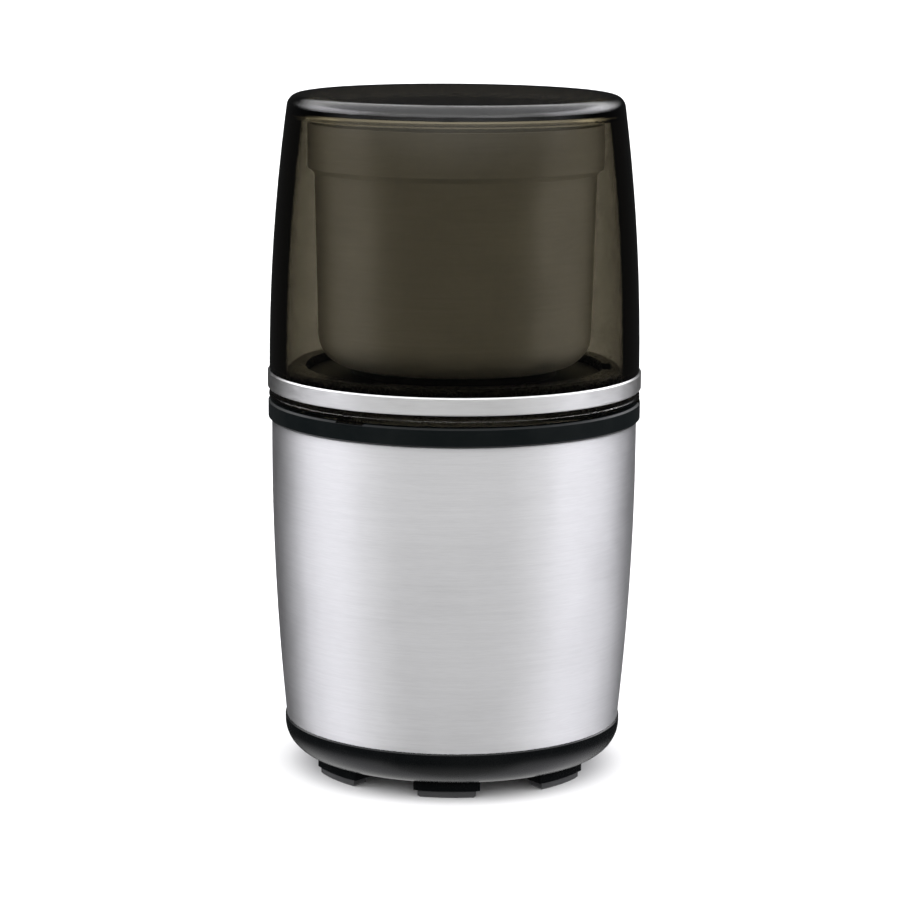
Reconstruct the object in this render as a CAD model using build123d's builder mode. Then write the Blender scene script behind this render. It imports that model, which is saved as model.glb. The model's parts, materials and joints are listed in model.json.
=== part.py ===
from build123d import *
import os
from math import asin, cos, degrees, hypot, radians, sin, sqrt

# An electric spice grinder: a sprung, push-down lid over a lift-out steel bowl, and a
# universal motor in a steel barrel. Sizes are millimetres. The origin lies on the table
# under the motor axis, +Z is up and the front faces -Y. Angles run from +X, anticlockwise.

# ---------------------------------------------------------------- fits
fit = 0.3  # between parts that move past each other, and under lifted seats
slide_fit = 0.4  # round the collar and the lid, which slide up and down
shaft_fit = 0.1  # round turning shafts
press_fit = 0.05  # round parts pushed into their seats

# ---------------------------------------------------------------- outline
band_radius = 54.6  # the widest part, which the other rings step in from
collar_inset = 0.2
flange_inset = 0.4
groove_inset = 0.8
dome_inset = 0.55
shell_inset = 1.25

pad_height = 2.2
foot_step = 3.3
base_height = 9.55
shell_height = 89.35
deck_lip = 0.6
press_travel = 2.0
collar_web = 2.2
flange_height = 1.7
groove_height = 1.55
band_height = 5.05
dome_height = 79.9

shell_wall = 0.6
shell_taper = 4.15  # how much slimmer the barrel is at its foot
shell_straight = 6.4  # straight stretch at the barrel's top
dome_taper = 5.6
dome_round = 3.6
lid_wall = 4.85
lid_crown = 4.6
crown_round = 2.6
flange_lip = 0.7  # upright edge of the flange, over its undercut
flange_undercut = 1.0
flange_round = 0.25
gate_mark_radius = 1.6
gate_mark_depth = 0.5

# heights of the joins, from the table up
base_bottom = pad_height + foot_step
shell_bottom = base_bottom + base_height
shell_top = shell_bottom + shell_height
deck_top = shell_top + deck_lip
collar_bottom = deck_top + press_travel + fit
collar_top = collar_bottom + collar_web
lid_bottom = collar_top + fit
flange_top = lid_bottom + flange_height
groove_top = flange_top + groove_height
band_top = groove_top + band_height
lid_top = band_top + dome_height
lid_ceiling = lid_top - lid_crown

# radii of the rings, all from the widest one
collar_radius = band_radius - collar_inset
flange_radius = band_radius - flange_inset
groove_radius = band_radius - groove_inset
dome_radius = band_radius - dome_inset
crown_radius = dome_radius - dome_taper
lid_bore = dome_radius - lid_wall
shell_radius = band_radius - shell_inset
shell_foot_radius = shell_radius - shell_taper


def bow(start, drop, height, at):
    """Radius at a height on an arc that leaves `start` upright and comes in by `drop`."""
    arc_radius = (height**2 + drop**2) / (2 * drop)
    return start - arc_radius + sqrt(arc_radius**2 - at**2)


crown_bore = bow(dome_radius, dome_taper, dome_height, lid_ceiling - band_top) - lid_wall

# ---------------------------------------------------------------- directions
front = -90
key_count = 3
key_angle = front - 31
key_angles = [key_angle + i * 360 / key_count for i in range(key_count)]
lobe_angles = [angle + 180 / key_count for angle in key_angles]

# ---------------------------------------------------------------- base and feet
foot_count = 7
foot_inset = 2.2
foot_depth = 5.9
foot_half_angle = 12.9
pad_half_angle = 11.4
pad_inset = 0.5
pad_chamfer = 0.6
base_lip = 0.4  # how far the base ring stands out past the barrel
base_curve = 4.6  # how far its underside comes in
base_straight = 1.85
base_wall = 2.2
upstand_height = 4.0
cover_wall = 1.8
cover_flange = 2.0
spool_radius = 18.0
spool_lip = 6.0
spool_bottom = 3.0
cord_space = 10.5
vent_count = 10
vent_gap = 45.0
vent_length = 10.0
vent_width = 2.4
cord_hole_radius = 4.0
cord_boss_wall = 2.5
cord_boss_height = 6.0
cord_angle = front + 180
cord_notch_width = 8.0  # the cord leaves under the base ring, between two feet
cord_notch_round = 1.6

base_radius = shell_foot_radius + base_lip
base_under_radius = base_radius - base_curve
foot_outer = base_under_radius - foot_inset
foot_inner = foot_outer - foot_depth
foot_middle = (foot_outer + foot_inner) / 2
ring_bore = foot_inner - pad_inset
base_floor = base_bottom + base_wall
cover_flange_top = base_floor + cover_flange
cover_radius = base_under_radius - base_wall - press_fit
recess_radius = ring_bore - fit
spool_top = spool_bottom + cover_wall
cover_ceiling = spool_top + cord_space
cover_top = cover_ceiling + cover_wall
cord_place_radius = (spool_radius + spool_lip + recess_radius - cover_wall) / 2
cord_notch_start = recess_radius - 2 * cover_wall


def foot_angle(number):
    """Direction of a foot; number 0 is at the front."""
    return front + number * 360 / foot_count


# the four feet that hide a screw, two on each side
post_angles = [foot_angle(1), foot_angle(3), foot_angle(foot_count - 3), foot_angle(foot_count - 1)]

# ---------------------------------------------------------------- deck and collar
collar_skirt_wall = 0.75
collar_skirt = 3.3
collar_guide_wall = 1.0
collar_guide = 6.3
collar_chamfer = 0.5
channel_clearance = 0.5
deck_plate = 2.2
deck_wall = 2.0
well_radius = 15.0
seat_floor = 4.2
seat_rim_height = 5.9
seat_rim_wall = 2.8
tab_height = 2.6
tab_reach = 2.5
lobe_radius = 3.6
lobe_neck = 5.0
key_width = 8.0
key_thickness = 2.0
key_length = 5.5
key_tab = 0.45  # how far a key's pad reaches down into the collar's edge
post_radius = 3.2
pilot_radius = 1.2
pilot_depth = 14.0
pocket_wall = 1.6
seat_screw_xy = 21.2
seal_lip = 0.8
screw_head = 1.6
blind_floor = 0.6  # what a blind hole leaves under itself
seat_chamfer = 0.6
spring_wire = 0.7
spring_radius = 2.4
spring_turns = 4
band_chamfer = 0.35

deck_radius = shell_radius - shell_wall - shaft_fit
collar_bore = lid_bore
seat_radius = collar_bore - slide_fit
guide_radius = collar_bore + collar_guide_wall
channel_radius = guide_radius + slide_fit
collar_guide_bottom = collar_bottom - collar_guide
channel_floor = collar_guide_bottom - press_travel - channel_clearance
deck_bottom = channel_floor - deck_plate
seat_bottom = collar_top + fit
seat_top = seat_bottom + seat_floor
seat_rim_top = seat_top + seat_rim_height
seat_groove_radius = seat_radius - seat_rim_wall
seat_recess_radius = seat_groove_radius - tab_reach
lobe_place = seat_radius - lobe_radius + fit
key_inner = lid_bore + slide_fit
key_outer = key_inner + key_thickness
key_bottom = lid_bottom - key_length
pocket_radius = lobe_radius + slide_fit

# ---------------------------------------------------------------- bowl
bowl_headroom = 1.4  # left over the bowl's rim with the lid pressed down
rim_clearance = 1.35
rim_height = 12.5
rim_step = 2.0
rim_slope = 1.6
bowl_taper = 1.3
bowl_corner = 9.0
bowl_wall = 0.8
bowl_plate = 3.2
bowl_drum = 2.5
bowl_drum_radius = 30.0
lug_count = 3
lug_reach = 2.1
lug_height = 2.6
lug_half_angle = 6.0
lug_play_angle = 1.2
bowl_turn = 25.0
lug_angle = front + 60
stop_half_angle = 1.5
rivet_circle_radius = 20.0
rivet_count = 3
rivet_radius = 1.5
rivet_head = 2.8
rivet_head_height = 0.9
rivet_taper = 30.0
rivet_grip = 4.0

bowl_base_bottom = seat_top + fit
bowl_plate_top = bowl_base_bottom + bowl_plate
bowl_bottom = bowl_plate_top + bowl_drum
bowl_top = lid_ceiling - press_travel - bowl_headroom
rim_radius = crown_bore - rim_clearance
bowl_radius = rim_radius - rim_step
bowl_foot_radius = bowl_radius - bowl_taper
rim_bottom = bowl_top - rim_height
bowl_base_radius = seat_recess_radius - slide_fit - fit
bowl_floor = bowl_bottom + bowl_wall
lug_angles = [lug_angle + i * 360 / lug_count for i in range(lug_count)]

# ---------------------------------------------------------------- blade and couplings
spindle_radius = 3.0
bush_wall = 2.6
bush_height = 2.8
hub_drop = 3.0
hub_wall = 3.0
seal_wall = 2.2
seal_height = 1.8
seal_taper = 25.0
blade_gap = 2.2
blade_thickness = 1.3
blade_reach = 33.0
blade_width = 11.0
blade_hub = 8.0
blade_belly_length = 19.8  # where a wing is widest
blade_belly_depth = 0.8
blade_shoulder_length = 28.4
blade_tip_width = 0.6
wing_gap = 1.4
blade_pitch_angle = 14.0
blade_rise_angle = 9.0
nut_flats = 9.0
nut_height = 4.2
nut_chamfer = 0.8
coupling_radius = 9.5
coupling_plate = 3.4
dog_height = 3.2
dog_inner = 5.2
dog_half_angle = 20.0
washer_height = 0.5

bush_radius = spindle_radius + shaft_fit + bush_wall
hub_bottom = bowl_base_bottom - hub_drop
washer_bottom = hub_bottom - shaft_fit - washer_height
driven_top = washer_bottom
driven_bottom = driven_top - coupling_plate
dog_meet = driven_bottom - dog_height
drive_top = dog_meet - fit
drive_bottom = drive_top - coupling_plate
blade_height = bowl_floor + bush_height + seal_height + blade_gap

# ---------------------------------------------------------------- motor
shaft_radius = 3.0
shaft_chamfer = 0.5
motor_gap = 3.1  # between the cord outlet's boss and the motor's bolt heads
post_gap = 2.1  # between the motor's legs and the tie posts
leg_angle = 40.0
stator_corner = 5.0
stator_wall = 4.9  # iron beside the windows of the field coils
pole_wall = 2.4  # iron between window and bore
air_gap = 0.5
slot_count = 12
core_share = 0.42  # of the armature's radius, solid iron under the slots
tooth_share = 0.62  # of the slots' pitch where they are deepest
tooth_tip = 1.4  # height of a tooth's wide tip
slot_mouth = 2.2
winding_drop = 4.2
winding_share = 0.86  # of the armature's radius, the windings' ends
window_width = 7.0
window_depth = 8.0
coil_fit = 0.5
coil_overhang = 6.0
frame_plate = 3.0
frame_leg = 2.6
frame_leg_inset = 0.9
frame_slot = 7.0
lower_gap = 19.0
upper_gap = 16.0
bolt_radius = 1.4
bolt_head = 2.4
bearing_lower_radius = 8.0
bearing_upper_radius = 9.5
bearing_height = 5.0
bearing_wall = 3.0
commutator_radius = 9.3
commutator_height = 10.0
commutator_gap = 4.0
bar_slit = 0.6
brush_width = 5.0
brush_height = 7.0
brush_room = 2.5  # left for the spring behind a brush
holder_wall = 2.0
brush_gap = 1.4
leaf_wall = 0.5
fuse_length = 14.0
fuse_radius = 1.6
fan_leg_gap = 4.8
fan_hub = 6.5
fan_plate = 1.2
fan_height = 5.4
fan_blades = 9
fan_blade_wall = 1.0
fan_blade_bow = 2.4
fan_gap = 1.0
mount_ahead = 2.0  # how far the mounts stand out beside the stator
mount_y = 12.0
mount_radius = 4.5
mount_height = 5.0
mount_boss = 4.3

# the motor hangs from the deck, over the cord outlet and between the tie posts
frame_low = cover_ceiling + cord_boss_height + motor_gap + screw_head
mount_top = deck_bottom - mount_boss
frame_high = mount_top - mount_height - frame_plate
stack_bottom = frame_low + frame_plate + lower_gap
stack_top = frame_high - upper_gap
stack_height = stack_top - stack_bottom
leg_radius = foot_middle - post_radius - post_gap - frame_leg
leg_x = leg_radius * cos(radians(leg_angle))
leg_y = leg_radius * sin(radians(leg_angle))
stator_width = 2 * (leg_x + frame_leg + frame_leg_inset)
stator_depth = 2 * (leg_y + frame_leg + frame_leg_inset)
window_x = (stator_width - window_width) / 2 - stator_wall
window_y = (stator_depth - window_depth) / 2 - stator_wall
bore_radius = hypot(window_x - window_width / 2, window_y - window_depth / 2) - pole_wall
armature_radius = bore_radius - air_gap
core_radius = armature_radius * core_share
slot_radius = armature_radius - tooth_tip
tooth_wall = 2 * core_radius * sin(radians(180 / slot_count)) * tooth_share
winding_radius = armature_radius * winding_share
commutator_bottom = frame_low + frame_plate + commutator_gap
brush_middle = commutator_bottom + commutator_height / 2
holder_inner = commutator_radius + brush_gap
holder_length = stator_depth / 2 - holder_inner - fit
brush_inner = commutator_radius + fit
brush_length = holder_length - brush_room
fan_bottom = stack_top + coil_overhang + fan_gap
fan_radius = leg_radius - frame_leg - fan_leg_gap
mount_x = stator_width / 2 + mount_ahead

# ---------------------------------------------------------------- safety switch
rod_radius = 1.1
rod_place = seat_radius + rod_radius + fit
rod_length = 12.0
rod_guide = 3.3
rod_guide_wall = 1.6
switch_length = 20.0
switch_height = 10.0
switch_wall = 6.4
switch_inset = 0.4
switch_drop = 3.4
switch_ahead = 6.0
lever_arm = 12.0
lever_wall = 0.4
lever_width = 3.6
lever_overhang = 1.6
lever_eye = 1.1
lever_pin = 0.5
ear_half = 1.4
plunger_radius = 0.9
plunger_arm = 3.0
plunger_depth = 2.0
terminal_drop = 5.0
terminal_wall = 0.8
terminal_places = (-2.0, 4.0, 10.0)
switch_block = 4.0
switch_screw_places = (-3.0, 11.0)
switch_screw_radius = 1.0

rod_top = key_bottom - fit
rod_bottom = rod_top - rod_length
lever_top = rod_bottom - fit
lever_bottom = lever_top - lever_wall
switch_top = lever_top - switch_drop
switch_outer = rod_place - switch_inset
switch_inner = switch_outer - switch_wall
switch_back = switch_length - switch_ahead
switch_bottom = switch_top - switch_height
lever_inner = rod_place - lever_width
pivot_height = lever_bottom - lever_eye + lever_wall
plunger_top = lever_bottom - fit
plunger_travel = press_travel * plunger_arm / lever_arm

os.makedirs("parts", exist_ok=True)


def polar(radius, angle):
    """Point on a circle round the axis."""
    return (radius * cos(radians(angle)), radius * sin(radians(angle)))


def sector(inner, outer, middle, half_angle):
    """Piece of a flat ring, centred on the direction `middle`."""
    with BuildSketch() as area:
        with BuildLine():
            rim = CenterArc((0, 0), outer, middle - half_angle, 2 * half_angle)
            bore = CenterArc((0, 0), inner, middle - half_angle, 2 * half_angle)
            Line(rim @ 0, bore @ 0)
            Line(rim @ 1, bore @ 1)
        make_face()
    return area.sketch


def sectors(inner, outer, middles, half_angle):
    """Several equal ring pieces."""
    return [sector(inner, outer, middle, half_angle) for middle in middles]


def half_angle_of(width, radius):
    """Half the angle that a width takes up at a radius."""
    return degrees(asin(width / 2 / radius))


def from_below(places, height):
    """Locations that face down, so that a hole made there runs up."""
    return [Location((x, y, height), (180, 0, 0)) for x, y in places]


def corners(x, y):
    """Four places, mirrored about both axes."""
    return [(x, y), (-x, y), (-x, -y), (x, -y)]


# frame of the safety switch: +X outward at the first key, +Y along the barrel's wall
switch_plane = Plane(origin=(0, 0, 0), x_dir=(*polar(1, key_angle), 0), z_dir=(0, 0, 1))

# the switch's own screws run outward through its block; its lever turns on a pin beside it
screw_plane = Plane(
    origin=(*polar(switch_inner - switch_block, key_angle), switch_bottom + switch_height / 2),
    x_dir=(*polar(1, key_angle + 90), 0),
    z_dir=(*polar(1, key_angle), 0),
)
switch_screw_spots = [(place, 0) for place in switch_screw_places]
pin_plane = Plane(
    origin=(*polar(lever_inner - fit, key_angle), 0),
    x_dir=(*polar(1, key_angle + 90), 0),
    z_dir=(*polar(1, key_angle), 0),
)

# the cord's notch is cut outward, seen from behind the base
cord_notch_plane = Plane(
    origin=(*polar(cord_notch_start, cord_angle), base_bottom),
    x_dir=(*polar(1, cord_angle + 90), 0),
    z_dir=(*polar(1, cord_angle), 0),
)

# ================================================================ barrel
with BuildPart() as motor_housing:
    with BuildSketch(Plane.XZ):
        with BuildLine():
            shell_waist = shell_top - shell_straight
            outer = TangentArc(
                (shell_radius, shell_waist), (shell_foot_radius, shell_bottom), tangent=(0, -1)
            )
            inner = TangentArc(
                (shell_radius - shell_wall, shell_waist),
                (shell_foot_radius - shell_wall, shell_bottom),
                tangent=(0, -1),
            )
            Polyline(
                outer @ 0,
                (shell_radius, shell_top),
                (shell_radius - shell_wall, shell_top),
                inner @ 0,
            )
            Line(outer @ 1, inner @ 1)
        make_face()
    revolve(axis=Axis.Z)
motor_housing.part.label = "motor_housing"
export_step(motor_housing.part, "parts/motor_housing.step")

# ================================================================ base ring and feet
upstand_radius = shell_foot_radius - shell_wall - shaft_fit
post_places = [polar(foot_middle, angle) for angle in post_angles]
foot_angles = [foot_angle(i) for i in range(foot_count)]
foot_shapes = sectors(foot_inner, foot_outer, foot_angles, foot_half_angle)
with BuildPart() as base_ring:
    with BuildSketch(Plane.XZ):
        with BuildLine():
            arc_top = shell_bottom - base_straight
            outer = TangentArc(
                (base_radius, arc_top), (base_under_radius, base_bottom), tangent=(0, -1)
            )
            Polyline(
                outer @ 1,
                (ring_bore, base_bottom),
                (ring_bore, base_floor),
                (base_under_radius - base_wall, base_floor),
                (upstand_radius - base_wall, arc_top),
                (upstand_radius - base_wall, shell_bottom + upstand_height),
                (upstand_radius, shell_bottom + upstand_height),
                (upstand_radius, shell_bottom),
                (base_radius - base_lip, shell_bottom),
                (base_radius, shell_bottom - base_lip),
                outer @ 0,
            )
        make_face()
    revolve(axis=Axis.Z)
    with BuildSketch(Plane.XY.offset(pad_height)):
        add(foot_shapes)
    extrude(amount=foot_step + base_wall / 2)
    with Locations(*from_below(post_places, pad_height)):
        CounterBoreHole(pilot_radius + fit, bolt_head + fit, bolt_head, foot_step + base_wall)
    with BuildSketch(cord_notch_plane):
        RectangleRounded(cord_notch_width, 2 * base_wall, cord_notch_round)
    extrude(amount=base_radius - cord_notch_start, mode=Mode.SUBTRACT)
base_ring.part.label = "base_ring"
export_step(base_ring.part, "parts/base_ring.step")

pad_shapes = sectors(foot_inner + pad_inset, foot_outer - pad_inset, foot_angles, pad_half_angle)
with BuildPart() as foot_pads:
    with BuildSketch():
        add(pad_shapes)
    extrude(amount=pad_height)
    chamfer(foot_pads.faces().group_by(Axis.Z)[0].edges(), pad_chamfer)
foot_pads.part.label = "foot_pads"
export_step(foot_pads.part, "parts/foot_pads.step")

# ================================================================ base cover, cord spool
cord_place = polar(cord_place_radius, cord_angle)
with BuildPart() as base_cover:
    with BuildSketch(Plane.XZ):
        with BuildLine():
            Polyline(
                (0, spool_bottom),
                (spool_radius + spool_lip, spool_bottom),
                (spool_radius + spool_lip, spool_top),
                (spool_radius, spool_top),
                (spool_radius, cover_ceiling),
                (recess_radius - cover_wall, cover_ceiling),
                (recess_radius - cover_wall, base_bottom + pad_inset),
                (recess_radius, base_bottom + pad_inset),
                (recess_radius, base_floor),
                (cover_radius, base_floor),
                (cover_radius, cover_flange_top),
                (recess_radius, cover_flange_top),
                (recess_radius, cover_top),
                (spool_radius - cover_wall, cover_top),
                (spool_radius - cover_wall, spool_top),
                (0, spool_top),
                close=True,
            )
        make_face()
    revolve(axis=Axis.Z)
    with Locations((*cord_place, cover_top)):
        Cylinder(
            cord_hole_radius + cord_boss_wall,
            cord_boss_height - cover_wall,
            align=(Align.CENTER, Align.CENTER, Align.MIN),
        )
    with Locations((*cord_place, cover_ceiling + cord_boss_height)):
        Hole(cord_hole_radius, cord_boss_height)
    with BuildSketch(Plane.XY.offset(cover_ceiling)):
        with PolarLocations(
            cord_place_radius, vent_count, cord_angle + vent_gap, 360 - 2 * vent_gap, endpoint=True
        ):
            Rectangle(vent_length, vent_width)
    extrude(amount=cover_wall, mode=Mode.SUBTRACT)
    with Locations(*from_below(post_places, base_floor)):
        Hole(pilot_radius + fit, cover_flange)
    with BuildSketch(cord_notch_plane):
        RectangleRounded(cord_notch_width, 2 * base_wall, cord_notch_round)
    extrude(amount=ring_bore - cord_notch_start, mode=Mode.SUBTRACT)
base_cover.part.label = "base_cover"
export_step(base_cover.part, "parts/base_cover.step")

# ================================================================ top deck
spring_places = [polar(lobe_place, angle) for angle in lobe_angles]
seat_screws = corners(seat_screw_xy, seat_screw_xy)
motor_mounts = corners(mount_x, mount_y)
notch_half = half_angle_of(key_width + 2 * slide_fit, key_outer)
key_notches = sectors(seat_radius, key_outer + slide_fit, key_angles, notch_half)
lobe_half = half_angle_of(lobe_neck + 2 * slide_fit, lobe_place)
lobe_slots = sectors(lobe_place, channel_radius, lobe_angles, lobe_half)
seal_seat_radius = shaft_radius + shaft_fit + seal_wall
with BuildPart() as top_deck:
    with BuildSketch(Plane.XY.offset(deck_bottom)):
        Circle(deck_radius)
        Circle(seal_seat_radius, mode=Mode.SUBTRACT)
    extrude(amount=deck_plate)
    with BuildSketch(Plane.XY.offset(channel_floor)):
        Circle(deck_radius)
        Circle(channel_radius, mode=Mode.SUBTRACT)
    extrude(amount=shell_top - channel_floor)
    with BuildSketch(Plane.XY.offset(shell_top)):
        Circle(shell_radius - shaft_fit)
        Circle(channel_radius, mode=Mode.SUBTRACT)
    extrude(amount=deck_lip)
    with BuildSketch(Plane.XY.offset(channel_floor)):
        Circle(seat_radius)
        Circle(seat_radius - deck_wall, mode=Mode.SUBTRACT)
        with Locations(*spring_places):
            Circle(pocket_radius + pocket_wall)
        Circle(seat_radius, mode=Mode.INTERSECT)
        Circle(well_radius + deck_wall)
        Circle(well_radius, mode=Mode.SUBTRACT)
        with Locations(*seat_screws):
            Circle(post_radius)
    extrude(amount=seat_bottom - channel_floor)
    with BuildSketch(Plane.XY.offset(channel_floor)):
        with Locations(*spring_places):
            Circle(pocket_radius)
    extrude(amount=seat_bottom - channel_floor, mode=Mode.SUBTRACT)
    with BuildSketch(Plane.XY.offset(deck_top)):
        add(lobe_slots)
    extrude(amount=seat_bottom - deck_top, mode=Mode.SUBTRACT)
    with BuildSketch(Plane.XY.offset(channel_floor)):
        add(key_notches)
    extrude(amount=deck_top - channel_floor, mode=Mode.SUBTRACT)
    # tie posts, motor bosses, rod guide and switch block, all under the plate
    with BuildSketch(Plane.XY.offset(cover_flange_top)):
        with Locations(*post_places):
            Circle(post_radius)
    extrude(amount=deck_bottom - cover_flange_top)
    with BuildSketch(Plane.XY.offset(mount_top)):
        with Locations(*motor_mounts):
            Circle(mount_radius)
    extrude(amount=deck_bottom - mount_top)
    with BuildSketch(switch_plane.offset(deck_bottom - rod_guide)):
        with Locations((rod_place, 0)):
            Circle(rod_radius + fit + rod_guide_wall)
    extrude(amount=rod_guide)
    with BuildSketch(switch_plane.offset(switch_bottom)):
        with Locations((switch_inner - switch_block / 2, (switch_back - switch_ahead) / 2)):
            Rectangle(switch_block, switch_length)
    extrude(amount=deck_bottom - switch_bottom)
    with BuildSketch(Plane.XY.offset(deck_bottom)):
        Circle(deck_radius + post_radius)
        Circle(deck_radius, mode=Mode.SUBTRACT)
    extrude(amount=-rod_guide, mode=Mode.SUBTRACT)
    with Locations(*from_below(post_places, cover_flange_top)):
        Hole(pilot_radius, pilot_depth)
    with Locations(*from_below(motor_mounts, mount_top)):
        Hole(pilot_radius, deck_bottom - mount_top)
    with Locations(*from_below(seat_screws, deck_bottom)):
        Hole(pilot_radius + fit, seat_bottom - deck_bottom)
    with Locations(*from_below([polar(rod_place, key_angle)], deck_bottom - rod_guide)):
        Hole(rod_radius + fit, rod_guide + deck_plate)
    with BuildSketch(screw_plane):
        with Locations(*switch_screw_spots):
            Circle(switch_screw_radius)
    extrude(amount=switch_block, mode=Mode.SUBTRACT)
top_deck.part.label = "top_deck"
export_step(top_deck.part, "parts/top_deck.step")

with BuildPart() as deck_seal:
    with BuildSketch(Plane.XY.offset(deck_bottom)):
        Circle(seal_seat_radius)
        Circle(shaft_radius + shaft_fit, mode=Mode.SUBTRACT)
    extrude(amount=deck_plate)
    with BuildSketch(Plane.XY.offset(channel_floor)):
        Circle(seal_seat_radius + seal_wall)
        Circle(shaft_radius + shaft_fit, mode=Mode.SUBTRACT)
    extrude(amount=seal_lip)
deck_seal.part.label = "deck_seal"
export_step(deck_seal.part, "parts/deck_seal.step")

with BuildPart() as deck_screws:
    with BuildSketch(Plane.XY.offset(deck_bottom - screw_head)):
        with Locations(*seat_screws):
            Circle(bolt_head)
    extrude(amount=screw_head)
    with BuildSketch(Plane.XY.offset(deck_bottom)):
        with Locations(*seat_screws):
            Circle(pilot_radius)
    extrude(amount=seat_bottom - deck_bottom + seat_floor - blind_floor)
deck_screws.part.label = "deck_screws"
export_step(deck_screws.part, "parts/deck_screws.step")

with BuildPart() as cover_screws:
    with BuildSketch(Plane.XY.offset(pad_height + bolt_head - screw_head)):
        with Locations(*post_places):
            Circle(bolt_head)
    extrude(amount=screw_head)
    with BuildSketch(Plane.XY.offset(pad_height + bolt_head)):
        with Locations(*post_places):
            Circle(pilot_radius)
    extrude(amount=cover_flange_top + pilot_depth - pad_height - bolt_head - blind_floor)
cover_screws.part.label = "cover_screws"
export_step(cover_screws.part, "parts/cover_screws.step")

# ================================================================ bowl seat
lug_span = lug_half_angle + lug_play_angle
entry_gaps = sectors(
    seat_recess_radius - tab_reach,
    seat_groove_radius,
    [angle + bowl_turn for angle in lug_angles],
    lug_span,
)
lug_stops = sectors(
    seat_recess_radius,
    seat_groove_radius + seat_rim_wall / 2,
    [angle - lug_span - stop_half_angle for angle in lug_angles],
    stop_half_angle,
)
with BuildPart() as bowl_seat:
    with BuildSketch(Plane.XY.offset(seat_bottom)):
        Circle(seat_radius)
        Circle(well_radius, mode=Mode.SUBTRACT)
    extrude(amount=seat_floor)
    with BuildSketch(Plane.XY.offset(seat_top)):
        Circle(seat_radius)
        Circle(seat_groove_radius, mode=Mode.SUBTRACT)
    extrude(amount=seat_rim_height)
    with BuildSketch(Plane.XY.offset(seat_rim_top - tab_height)):
        Circle(seat_radius - seat_rim_wall / 2)
        Circle(seat_recess_radius, mode=Mode.SUBTRACT)
    extrude(amount=tab_height)
    with BuildSketch(Plane.XY.offset(seat_top)):
        add(lug_stops)
    extrude(amount=seat_rim_height - tab_height)
    with BuildSketch(Plane.XY.offset(seat_top)):
        add(entry_gaps)
    extrude(amount=seat_rim_height, mode=Mode.SUBTRACT)
    with Locations(*from_below(seat_screws, seat_bottom)):
        Hole(pilot_radius, seat_floor - blind_floor)
    rim_edge = bowl_seat.edges().filter_by(GeomType.CIRCLE).group_by(Axis.Z)[-1]
    chamfer(rim_edge.sort_by(SortBy.RADIUS)[-1], seat_chamfer)
bowl_seat.part.label = "bowl_seat"
export_step(bowl_seat.part, "parts/bowl_seat.step")

# ================================================================ press collar and springs
lobe_necks = sectors(lobe_place, guide_radius, lobe_angles, half_angle_of(lobe_neck, lobe_place))
with BuildPart() as press_collar:
    with BuildSketch(Plane.XY.offset(collar_bottom)):
        Circle(collar_radius)
        Circle(collar_bore, mode=Mode.SUBTRACT)
        add(lobe_necks)
        with Locations(*spring_places):
            Circle(lobe_radius)
    extrude(amount=collar_web)
    with BuildSketch(Plane.XY.offset(collar_bottom - collar_skirt)):
        Circle(collar_radius)
        Circle(collar_radius - collar_skirt_wall, mode=Mode.SUBTRACT)
    extrude(amount=collar_skirt)
    with BuildSketch(Plane.XY.offset(collar_guide_bottom)):
        Circle(guide_radius)
        Circle(collar_bore, mode=Mode.SUBTRACT)
    extrude(amount=collar_guide)
    rims = press_collar.edges().filter_by(GeomType.CIRCLE)
    rims = rims.filter_by(lambda edge: abs(edge.radius - collar_radius) < press_fit)
    chamfer(rims, collar_chamfer)
    with BuildSketch(Plane.XY.offset(collar_guide_bottom)):
        add(sectors(collar_bore - fit, key_outer + slide_fit, key_angles, notch_half))
    extrude(amount=collar_guide + collar_web, mode=Mode.SUBTRACT)
    with BuildSketch(Plane.XY.offset(collar_top)):
        add(sectors(key_outer, collar_radius + fit, key_angles, notch_half))
    extrude(amount=-key_tab, mode=Mode.SUBTRACT)
press_collar.part.label = "press_collar"
export_step(press_collar.part, "parts/press_collar.step")

spring_height = collar_bottom - channel_floor - spring_wire
with BuildPart() as collar_springs:
    for place in spring_places:
        with BuildLine() as coil:
            Helix(
                spring_height / spring_turns,
                spring_height,
                spring_radius,
                center=(*place, channel_floor + spring_wire / 2),
            )
        with BuildSketch(Plane(origin=coil.line @ 0, z_dir=coil.line % 0)):
            Rectangle(spring_wire, spring_wire)
        sweep(path=coil.line, is_frenet=True)
collar_springs.part.label = "collar_springs"
export_step(collar_springs.part, "parts/collar_springs.step")

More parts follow.
